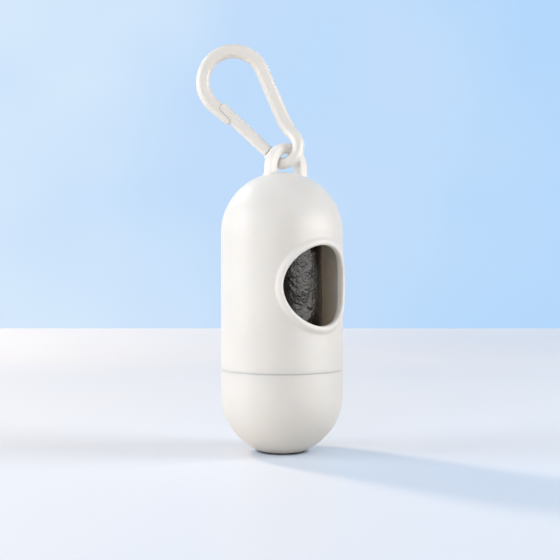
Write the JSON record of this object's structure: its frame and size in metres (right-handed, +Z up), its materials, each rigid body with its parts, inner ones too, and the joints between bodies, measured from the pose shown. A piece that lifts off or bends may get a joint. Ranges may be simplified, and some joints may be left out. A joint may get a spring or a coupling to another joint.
{
  "type": "dog poop bag dispenser",
  "caption": "Pill-shaped dispenser for a roll of waste bags: domed shell with a round bag window, screw-on rounded cup, and a snap hook looped through the eye on top.",
  "frame": {"origin": "centre of the flat foot under the cup, on the capsule's axis", "axes": "+Z up along the capsule's axis, the window faces -Y, and +X is to the right seen from the window's side"},
  "size_m": [0.0396, 0.0389, 0.1269],
  "materials": {
    "shell_plastic": "satin injection-moulded plastic, warm white",
    "hook_plastic": "satin injection-moulded plastic, warm white",
    "film": "thin wound polyethylene film, creased, with a soft sheen",
    "cardboard": "matt spiral-wound kraft cardboard",
    "steel": "bright drawn wire"
  },
  "bodies": {
    "shell": {"upper_shell": "shell_plastic"},
    "core": {"roll_core": "cardboard"},
    "roll": {"bag_01": "film", "bag_02": "film", "bag_03": "film", "bag_04": "film", "bag_05": "film", "bag_06": "film", "bag_07": "film", "bag_08": "film", "bag_09": "film", "bag_10": "film", "bag_11": "film", "bag_12": "film", "bag_13": "film", "bag_14": "film", "bag_15": "film"},
    "cup": {"bottom_cup": "shell_plastic"},
    "carabiner": {"carabiner_frame": "hook_plastic"},
    "gate": {"carabiner_gate": "hook_plastic", "gate_pin": "steel", "gate_spring": "steel"}
  },
  "joints": [
    {"name": "cup_drop", "type": "slide", "parent": "shell", "child": "core", "axis": [0, 0, -1], "range_m": [0, 0.007]},
    {"name": "cup_twist", "type": "hinge", "parent": "core", "child": "cup", "pos_m": [0, 0, 0], "axis": [0, 0, -1], "range_deg": [0, 420]},
    {"name": "roll_spin", "type": "hinge", "parent": "core", "child": "roll", "pos_m": [0, 0, 0], "axis": [0, 0, 1], "continuous": true},
    {"name": "carabiner_swing", "type": "hinge", "parent": "shell", "child": "carabiner", "pos_m": [0.0005, 0, 0.0895], "axis": [0, 1, 0], "range_deg": [-64, 28]},
    {"name": "gate_open", "type": "hinge", "parent": "carabiner", "child": "gate", "pos_m": [-0.00328, 0.00523, 0.0949], "axis": [0.6157, 0.788, 0], "range_deg": [0, 38], "stiffness_Nm_per_rad": 0.006, "springref_deg": -34.38}
  ],
  "couplings": [
    {"joint": "cup_twist", "follows": "cup_drop", "rad_per_m": 1047.2}
  ]
}
